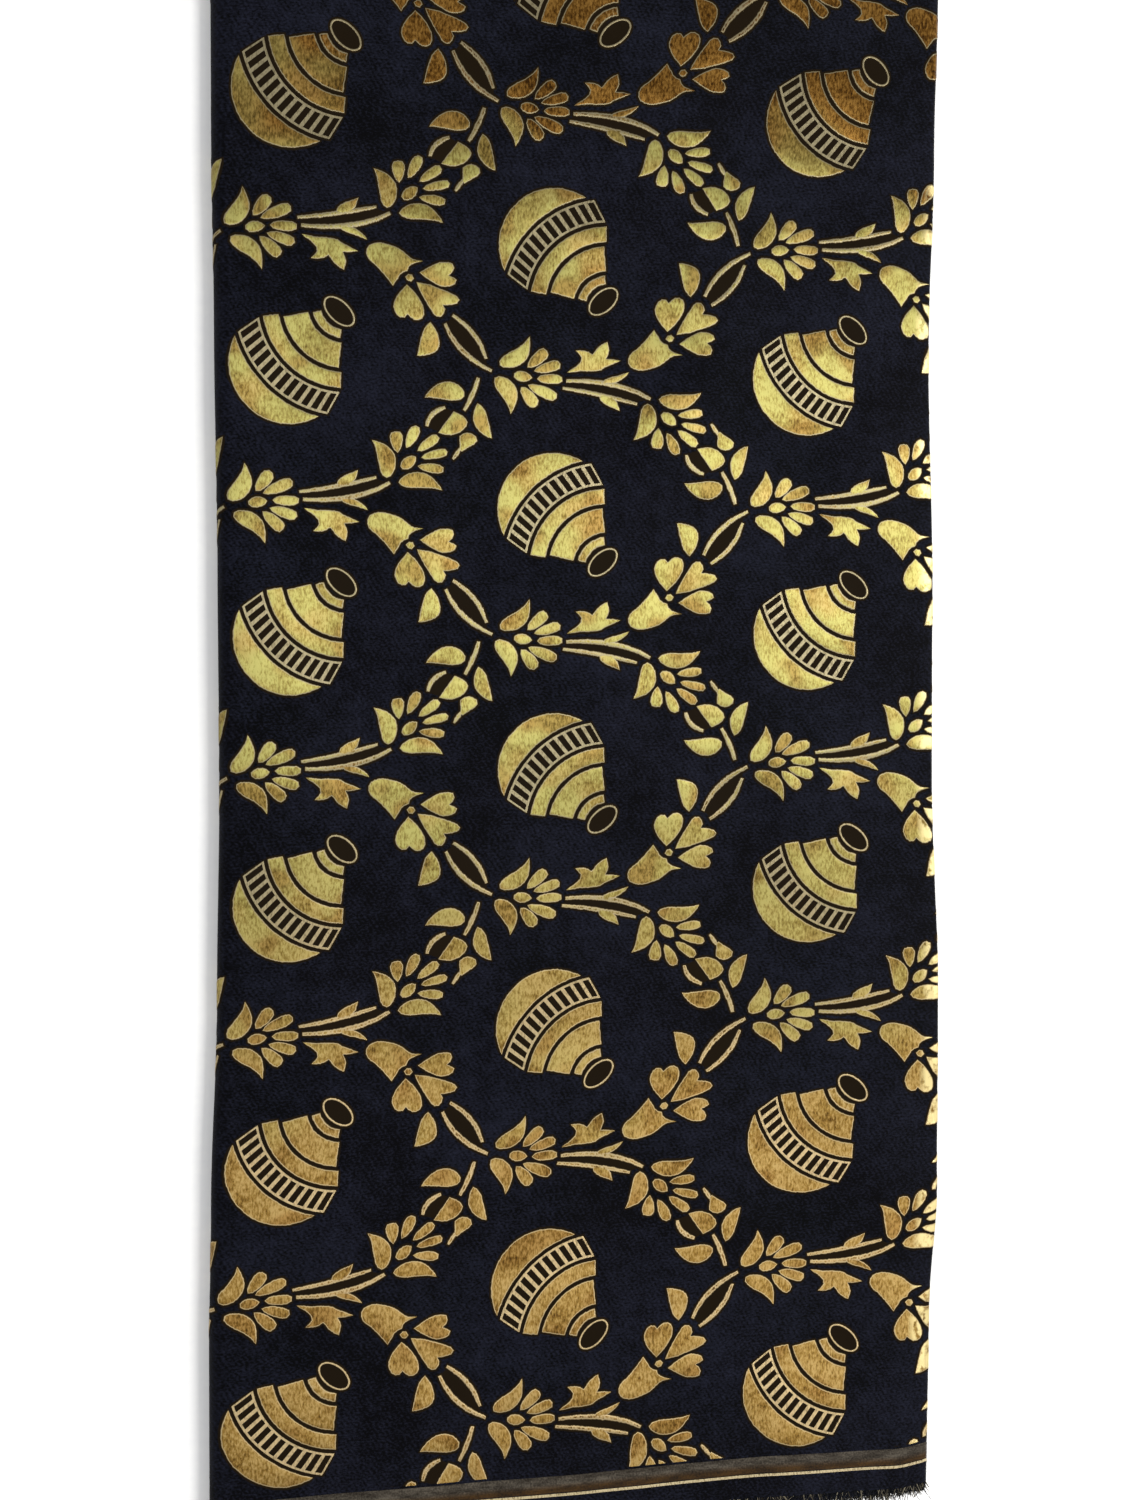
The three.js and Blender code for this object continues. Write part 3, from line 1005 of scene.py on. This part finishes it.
# The unit as a flat mesh, its faces cut by a net so that it can follow the cloth
def unitObject(name, unit, cell):
    mesh = bpy.data.meshes.new(name)
    mesh.from_pydata(unit.points, [], unit.faces)
    mesh.attributes.new("edge", "FLOAT", "POINT").data.foreach_set("value", unit.edge)
    work = bmesh.new()
    work.from_mesh(mesh)
    broad = [face for face in work.faces if len(face.verts) > 4]
    bmesh.ops.triangulate(work, faces=broad, ngon_method="BEAUTY")
    low = np.array([v.co[:2] for v in work.verts]).min(0)
    high = np.array([v.co[:2] for v in work.verts]).max(0)
    for axis in (0, 1):
        for place in np.arange(low[axis] + cell, high[axis], cell):
            cutAcross(work, axis, place)
    work.to_mesh(mesh)
    work.free()
    piece = bpy.data.objects.new(name, mesh)
    bpy.context.scene.collection.objects.link(piece)
    return piece


# Cuts a mesh along a plane, without removing anything
def cutAcross(work, axis, place):
    near = []
    for face in work.faces:
        places = [vert.co[axis] for vert in face.verts]
        if min(places) < place < max(places):
            near.append(face)
    if near:
        geometry = near + list(dict.fromkeys(edge for face in near for edge in face.edges))
        geometry += list(dict.fromkeys(vert for face in near for vert in face.verts))
        where, normal = [0, 0, 0], [0, 0, 0]
        where[axis], normal[axis] = place, 1
        bmesh.ops.bisect_plane(work, geom=geometry, plane_co=where, plane_no=normal)


# Geometry Nodes that lay the unit out in columns, every other one turned over
def repeatTree(material):
    tree = bpy.data.node_groups.new("figure_repeat", "GeometryNodeTree")
    face = tree.interface
    face.new_socket("Geometry", in_out="INPUT", socket_type="NodeSocketGeometry")
    sizes = ["Column pitch", "Row pitch", "Drop", "First column", "First row"]
    for name in sizes:
        face.new_socket(name, in_out="INPUT", socket_type="NodeSocketFloat")
    for name in ("Column pairs", "Rows"):
        face.new_socket(name, in_out="INPUT", socket_type="NodeSocketInt")
    face.new_socket("Geometry", in_out="OUTPUT", socket_type="NodeSocketGeometry")
    nodes, links = tree.nodes, tree.links
    given = nodes.new("NodeGroupInput").outputs

    def maths(operation, first, second):
        node = nodes.new("ShaderNodeMath")
        node.operation = operation
        for socket, value in zip(node.inputs, (first, second)):
            if isinstance(value, bpy.types.NodeSocket):
                links.new(value, socket)
            else:
                socket.default_value = value
        return node.outputs[0]

    def lattice(columnShift, rowShift, mirrored):
        grid = nodes.new("GeometryNodeMeshGrid")
        pairPitch = maths("MULTIPLY", given["Column pitch"], 2)
        width = maths("MULTIPLY", maths("SUBTRACT", given["Column pairs"], 1), pairPitch)
        height = maths("MULTIPLY", maths("SUBTRACT", given["Rows"], 1), given["Row pitch"])
        links.new(width, grid.inputs["Size X"])
        links.new(height, grid.inputs["Size Y"])
        links.new(given["Column pairs"], grid.inputs["Vertices X"])
        links.new(given["Rows"], grid.inputs["Vertices Y"])
        place = nodes.new("ShaderNodeCombineXYZ")
        shift = maths("ADD", maths("ADD", given["First column"], maths("DIVIDE", width, 2)), columnShift)
        links.new(shift, place.inputs[0])
        drop = maths("ADD", maths("ADD", given["First row"], maths("DIVIDE", height, 2)), rowShift)
        links.new(drop, place.inputs[1])
        move = nodes.new("GeometryNodeTransform")
        links.new(grid.outputs["Mesh"], move.inputs["Geometry"])
        links.new(place.outputs[0], move.inputs["Translation"])
        copies = nodes.new("GeometryNodeInstanceOnPoints")
        links.new(move.outputs[0], copies.inputs["Points"])
        links.new(given["Geometry"], copies.inputs["Instance"])
        if mirrored:
            copies.inputs["Scale"].default_value = (1, -1, 1)
        real = nodes.new("GeometryNodeRealizeInstances")
        links.new(copies.outputs[0], real.inputs[0])
        if not mirrored:
            return real.outputs[0]
        flip = nodes.new("GeometryNodeFlipFaces")
        links.new(real.outputs[0], flip.inputs[0])
        return flip.outputs[0]

    both = nodes.new("GeometryNodeJoinGeometry")
    links.new(lattice(0.0, 0.0, False), both.inputs[0])
    links.new(lattice(given["Column pitch"], given["Drop"], True), both.inputs[0])
    real = nodes.new("GeometryNodeRealizeInstances")
    links.new(both.outputs[0], real.inputs[0])
    paint = nodes.new("GeometryNodeSetMaterial")
    paint.inputs["Material"].default_value = material
    links.new(real.outputs[0], paint.inputs["Geometry"])
    links.new(paint.outputs[0], nodes.new("NodeGroupOutput").inputs[0])
    return tree


# The source object's mesh after a Geometry Nodes modifier with these inputs
def meshFromNodes(source, tree, values):
    modifier = source.modifiers.new("nodes", "NODES")
    modifier.node_group = tree
    sockets = {item.name: item.identifier for item in tree.interface.items_tree if item.in_out == "INPUT"}
    for name, value in values.items():
        modifier[sockets[name]] = value
    bpy.context.view_layer.update()
    evaluated = source.evaluated_get(bpy.context.evaluated_depsgraph_get())
    mesh = bpy.data.meshes.new_from_object(evaluated)
    source.modifiers.remove(modifier)
    bpy.data.objects.remove(source)
    return mesh


# Cuts the flat figure at the folds, drops what keep refuses, and lays the rest on the folded cloth
def wrapFigure(name, mesh, keep):
    flat = readPoints(mesh)
    flat[:, :2] += drift(flat[:, 0], flat[:, 1])
    mesh.vertices.foreach_set("co", flat.ravel())
    work = bmesh.new()
    work.from_mesh(mesh)
    lowest, highest = selvedge["figureEnd"], fold["clothWidth"] - selvedge["figureEnd"]
    away = [face for face in work.faces if not keep(*face.calc_center_median()[:2])]
    bmesh.ops.delete(work, geom=away, context="FACES")
    for place in (lowest, highest, *spaced(faceLength, faceLength + doublingArc, 0.4)):
        cutAcross(work, 1, place)
    for place in (0.0, fold["clothLength"]):
        cutAcross(work, 0, place)
    for leg in foldLegs:
        if "bend" in leg:
            for place in spaced(leg["start"], leg["end"], leg["step"]):
                cutAcross(work, 0, place)

    def offCloth(face):
        s, v, _ = face.calc_center_median()
        return not (0 < s < fold["clothLength"] and lowest < v < highest)

    bmesh.ops.delete(work, geom=[face for face in work.faces if offCloth(face)], context="FACES")
    openEdges = [edge for edge in work.edges if edge.is_boundary]
    bmesh.ops.holes_fill(work, edges=openEdges, sides=0)
    bmesh.ops.triangulate(work, faces=work.faces[:])
    work.to_mesh(mesh)
    work.free()
    flat = readPoints(mesh)
    corners = np.zeros(len(mesh.loops), np.int32)
    mesh.loops.foreach_get("vertex_index", corners)
    loom = flat[:, :2] - drift(flat[:, 0], flat[:, 1])
    layer = mesh.uv_layers.new(name="loom")
    layer.uv.foreach_set("vector", (loom[corners] * mm).astype(np.float32).ravel())
    folded = layCloth(flat[:, 0], flat[:, 1], flat[:, 2] + halfSheet)
    mesh.vertices.foreach_set("co", folded.ravel())
    mesh.polygons.foreach_set("use_smooth", [True] * len(mesh.polygons))
    mesh.set_sharp_from_angle(angle=math.radians(figure["creaseAngle"]))
    mesh.update()
    piece = bpy.data.objects.new(name, mesh)
    bpy.context.scene.collection.objects.link(piece)
    return piece


def readPoints(mesh):
    points = np.zeros(len(mesh.vertices) * 3)
    mesh.vertices.foreach_get("co", points)
    return points.reshape(-1, 3)


outerFoldMiddle = (foldLegs[0]["end"] + foldLegs[2]["start"]) / 2
topEnd = foldLegs[3]["end"] + 8


def onTop(s, v):
    return outerFoldMiddle < s < topEnd and v < faceLength + 6


def underneath(s, v):
    besideDoubling = abs(v - faceLength) < 7
    return v < faceLength + 6 and (s < outerFoldMiddle or (s > topEnd and besideDoubling))


# The figure's pieces: what each holds and where it lies, the distance between points of an outline, and the
# cell of the net that lets its shapes follow the cloth
figureParts = {
    "gold_trellis_top": {"adders": (addTrellis,), "keep": onTop, "spacing": 1.65, "cell": 4.8},
    "gold_pots_top": {"adders": (addPot,), "keep": onTop, "spacing": 1.5, "cell": 4.5},
    "gold_figure_under": {"adders": (addTrellis, addPot), "keep": underneath, "spacing": 2.8, "cell": 9.0},
}


def makeFigure():
    values = {
        "Column pitch": figure["columnPitch"],
        "Row pitch": figure["rowPitch"],
        "Drop": figure["drop"],
        "First column": figure["nodeS"] - 4 * figure["columnPitch"],
        "First row": figure["nodeV"] - figure["rowPitch"],
        "Column pairs": 6,
        "Rows": 8,
    }
    tree = repeatTree(goldMaterial())
    made = []
    for name, part in figureParts.items():
        unit = UnitMesh(part["spacing"])
        for addShapes in part["adders"]:
            addShapes(unit)
        flat = meshFromNodes(unitObject("figure_unit", unit, part["cell"]), tree, values)
        piece = wrapFigure(name, flat, part["keep"])
        made.append(addToFrame(piece))
        print(piece.name, len(piece.data.polygons), "triangles")
    return made


figurePieces = makeFigure()


# Loose yarn: the fringe of weft ends outside each selvedge, and short frays along the cut ends

fringe = {
    "spacing": 0.31,  # between yarns along the selvedge
    "length": 4.5,
    "thickness": 0.34,
    "spread": 36.0,  # degrees either way
    "curl": 1.6,
    "fraySpacing": 1.5,
    "frayLength": 1.7,
    "seed": 11,
}


# Roots on the folded cloth with the direction and length of the yarn that leaves each
def yarnRoots():
    places = np.arange(0.4, fold["clothLength"], fringe["spacing"])
    across = np.arange(3.0, fold["clothWidth"] - 3, fringe["fraySpacing"])
    sides = []
    for edge, out in ((0, -1), (fold["clothWidth"], 1)):
        sides.append((places, np.full_like(places, edge), 0, out, fringe["length"]))
    for end, out in ((0, -1), (fold["clothLength"], 1)):
        sides.append((np.full_like(across, end), across, out, 0, fringe["frayLength"]))
    roots, ways = [], []
    for s, v, ds, dv, length in sides:
        root = layCloth(s, v, 0)
        away = layCloth(s + ds, v + dv, 0) - root
        away /= np.linalg.norm(away, axis=1)[:, None]
        roots.append(root - 0.5 * mm * away)
        ways.append(away * length)
    return np.concatenate(roots), np.concatenate(ways)


def yarnTree(material):
    tree = bpy.data.node_groups.new("yarn_ends", "GeometryNodeTree")
    face = tree.interface
    face.new_socket("Geometry", in_out="INPUT", socket_type="NodeSocketGeometry")
    for name in ("Thickness", "Spread", "Curl"):
        face.new_socket(name, in_out="INPUT", socket_type="NodeSocketFloat")
    face.new_socket("Seed", in_out="INPUT", socket_type="NodeSocketInt")
    face.new_socket("Geometry", in_out="OUTPUT", socket_type="NodeSocketGeometry")
    nodes, links = tree.nodes, tree.links
    given = nodes.new("NodeGroupInput").outputs

    def node(kind, settings=(), **inputs):
        made = nodes.new(kind)
        for key, value in dict(settings).items():
            setattr(made, key, value)
        for key, value in inputs.items():
            socket = made.inputs[key.replace("_", " ")]
            if isinstance(value, bpy.types.NodeSocket):
                links.new(value, socket)
            else:
                socket.default_value = value
        return made

    def chance(low, high, seed):
        made = node("FunctionNodeRandomValue", {"data_type": "FLOAT"}, Seed=given["Seed"])
        made.inputs[2].default_value, made.inputs[3].default_value = low, high
        made.inputs["ID"].default_value = 0
        links.new(node("ShaderNodeMath", {"operation": "ADD"}).outputs[0], made.inputs["ID"])
        add = made.inputs["ID"].links[0].from_node
        links.new(nodes.new("GeometryNodeInputIndex").outputs[0], add.inputs[0])
        add.inputs[1].default_value = 10007 * seed
        return made.outputs[1]

    yarn = node(
        "GeometryNodeMeshCone", Vertices=3, Side_Segments=3, Radius_Top=0.28, Radius_Bottom=0.5, Depth=1.0
    )
    position = nodes.new("GeometryNodeInputPosition").outputs[0]
    height = node("ShaderNodeSeparateXYZ", Vector=position).outputs[2]
    along = node(
        "GeometryNodeStoreNamedAttribute", {"data_type": "FLOAT"},
        Geometry=yarn.outputs[0], Name="along", Value=height,
    )
    way = node("GeometryNodeInputNamedAttribute", {"data_type": "FLOAT_VECTOR"}, Name="way").outputs[0]
    length = node("ShaderNodeVectorMath", {"operation": "LENGTH"})
    links.new(way, length.inputs[0])
    turn = node("FunctionNodeAlignRotationToVector", {"axis": "Z"}, Vector=way)
    lean = nodes.new("ShaderNodeCombineXYZ")
    for k in (0, 1):
        swing = node("ShaderNodeMath", {"operation": "MULTIPLY"})
        links.new(chance(-1.0, 1.0, k + 1), swing.inputs[0])
        links.new(given["Spread"], swing.inputs[1])
        links.new(swing.outputs[0], lean.inputs[k])
    links.new(chance(0.0, 6.28, 3), lean.inputs[2])
    leaned = node("FunctionNodeRotateRotation", {"rotation_space": "LOCAL"}, Rotation=turn.outputs[0])
    links.new(lean.outputs[0], leaned.inputs["Rotate By"])
    reach = node("ShaderNodeMath", {"operation": "MULTIPLY"})
    links.new(length.outputs["Value"], reach.inputs[0])
    links.new(chance(0.45, 1.0, 4), reach.inputs[1])
    size = node("ShaderNodeCombineXYZ", X=given["Thickness"], Y=given["Thickness"], Z=reach.outputs[0])
    copies = node(
        "GeometryNodeInstanceOnPoints", Points=given["Geometry"], Instance=along.outputs[0],
        Rotation=leaned.outputs[0], Scale=size.outputs[0],
    )
    toned = node(
        "GeometryNodeStoreNamedAttribute", {"data_type": "FLOAT", "domain": "INSTANCE"},
        Geometry=copies.outputs[0], Name="yarnTone", Value=chance(0.0, 1.0, 5),
    )
    real = node("GeometryNodeRealizeInstances", Geometry=toned.outputs[0])
    curls = node("ShaderNodeTexNoise", Scale=420.0, Detail=1.0)
    centred = node("ShaderNodeVectorMath", {"operation": "SUBTRACT"})
    links.new(curls.outputs["Color"], centred.inputs[0])
    centred.inputs[1].default_value = (0.5, 0.5, 0.5)
    share = node("GeometryNodeInputNamedAttribute", {"data_type": "FLOAT"}, Name="along").outputs[0]
    amount = node("ShaderNodeMath", {"operation": "MULTIPLY"})
    links.new(share, amount.inputs[0])
    links.new(given["Curl"], amount.inputs[1])
    bend = node("ShaderNodeVectorMath", {"operation": "SCALE"}, Scale=amount.outputs[0])
    links.new(centred.outputs[0], bend.inputs[0])
    moved = node("GeometryNodeSetPosition", Geometry=real.outputs[0], Offset=bend.outputs[0])
    paint = node("GeometryNodeSetMaterial", Geometry=moved.outputs[0])
    paint.inputs["Material"].default_value = material
    links.new(paint.outputs[0], nodes.new("NodeGroupOutput").inputs[0])
    return tree


def makeFringe():
    roots, ways = yarnRoots()
    mesh = bpy.data.meshes.new("yarn_roots")
    mesh.from_pydata(roots.tolist(), [], [])
    mesh.attributes.new("way", "FLOAT_VECTOR", "POINT").data.foreach_set("vector", (ways * mm).ravel())
    guide = bpy.data.objects.new("yarn_roots", mesh)
    bpy.context.scene.collection.objects.link(guide)
    values = {
        "Thickness": fringe["thickness"] * mm,
        "Spread": math.radians(fringe["spread"]),
        "Curl": fringe["curl"] * mm,
        "Seed": fringe["seed"],
    }
    yarns = meshFromNodes(guide, yarnTree(yarnMaterial()), values)
    points = readPoints(yarns)
    points[:, 2] = np.maximum(points[:, 2], 0.05 * mm)
    yarns.vertices.foreach_set("co", points.ravel())
    yarns.polygons.foreach_set("use_smooth", [True] * len(yarns.polygons))
    yarns.update()
    piece = bpy.data.objects.new("yarn_fringe", yarns)
    bpy.context.scene.collection.objects.link(piece)
    return addToFrame(piece)


yarnFringe = makeFringe()
print("fringe:", len(yarnFringe.data.polygons), "faces")


# Floor, light and camera

def makeFloor():
    reach = 6.0
    corners = [(-reach, -reach, 0), (reach, -reach, 0), (reach, reach, 0), (-reach, reach, 0)]
    floor = makePiece("floor", corners, [[0, 1, 2, 3]])
    m = NodeTree("floor_paper")
    grain = m.noise(m.add("TexCoord").outputs["Object"], 300.0, 2.0)
    m.put(m.shader.inputs["Base Color"], m.ramp(grain, [(0.3, "#f1f1f2"), (0.7, "#f4f4f4")]))
    m.shader.inputs["Roughness"].default_value = 0.9
    m.shader.inputs["Specular IOR Level"].default_value = 0.0
    floor.data.materials.append(m.material)


lights = {
    "window": {"place": (0.95, 0.39, 1.60), "size": (0.50, 0.70), "watts": 15.5, "colour": (1.0, 0.99, 0.96)},
    "lower": {"place": (0.95, -0.85, 1.60), "size": (0.60, 0.70), "watts": 9.0, "colour": (1.0, 0.97, 0.92)},
    "side": {"place": (1.45, 0.10, 0.80), "size": (0.50, 1.00), "watts": 12.0, "colour": (1.0, 0.99, 0.96)},
    "fill": {"place": (-1.60, -0.60, 1.90), "size": (1.60, 1.60), "watts": 6.0, "colour": (0.96, 0.98, 1.0)},
}
skyStrength = 0.76


def makeLights():
    for name, light in lights.items():
        data = bpy.data.lights.new(name, "AREA")
        data.shape = "RECTANGLE"
        data.size, data.size_y = light["size"]
        data.energy = light["watts"]
        data.color = light["colour"]
        lamp = bpy.data.objects.new(name, data)
        bpy.context.scene.collection.objects.link(lamp)
        lamp.location = light["place"]
        x, _, z = light["place"]
        lamp.rotation_euler = (0, math.atan2(x, z), 0)
    world = bpy.data.worlds.new("studio")
    bpy.context.scene.world = world
    world.use_nodes = True
    background = world.node_tree.nodes["Background"]
    background.inputs[0].default_value = (1, 1, 1, 1)
    background.inputs[1].default_value = skyStrength


camera = {
    "place": (-0.0907, 0.0019, 0.5424),
    "tilt": (-0.55, -8.85, -0.04),  # degrees about X, Y and Z
    "reach": 1.0,  # focal length as a share of the frame's height
}


def makeCamera():
    data = bpy.data.cameras.new("camera")
    data.sensor_fit = "VERTICAL"
    data.sensor_height = 24.0
    data.lens = data.sensor_height * camera["reach"]
    data.clip_start = 0.01
    eye = bpy.data.objects.new("camera", data)
    bpy.context.scene.collection.objects.link(eye)
    eye.location = camera["place"]
    eye.rotation_euler = [math.radians(angle) for angle in camera["tilt"]]
    bpy.context.scene.camera = eye


makeFloor()
makeLights()
makeCamera()
bpy.context.scene.view_settings.view_transform = "Standard"
bpy.context.scene.view_settings.look = "None"
print("stage: floor, lights and camera")
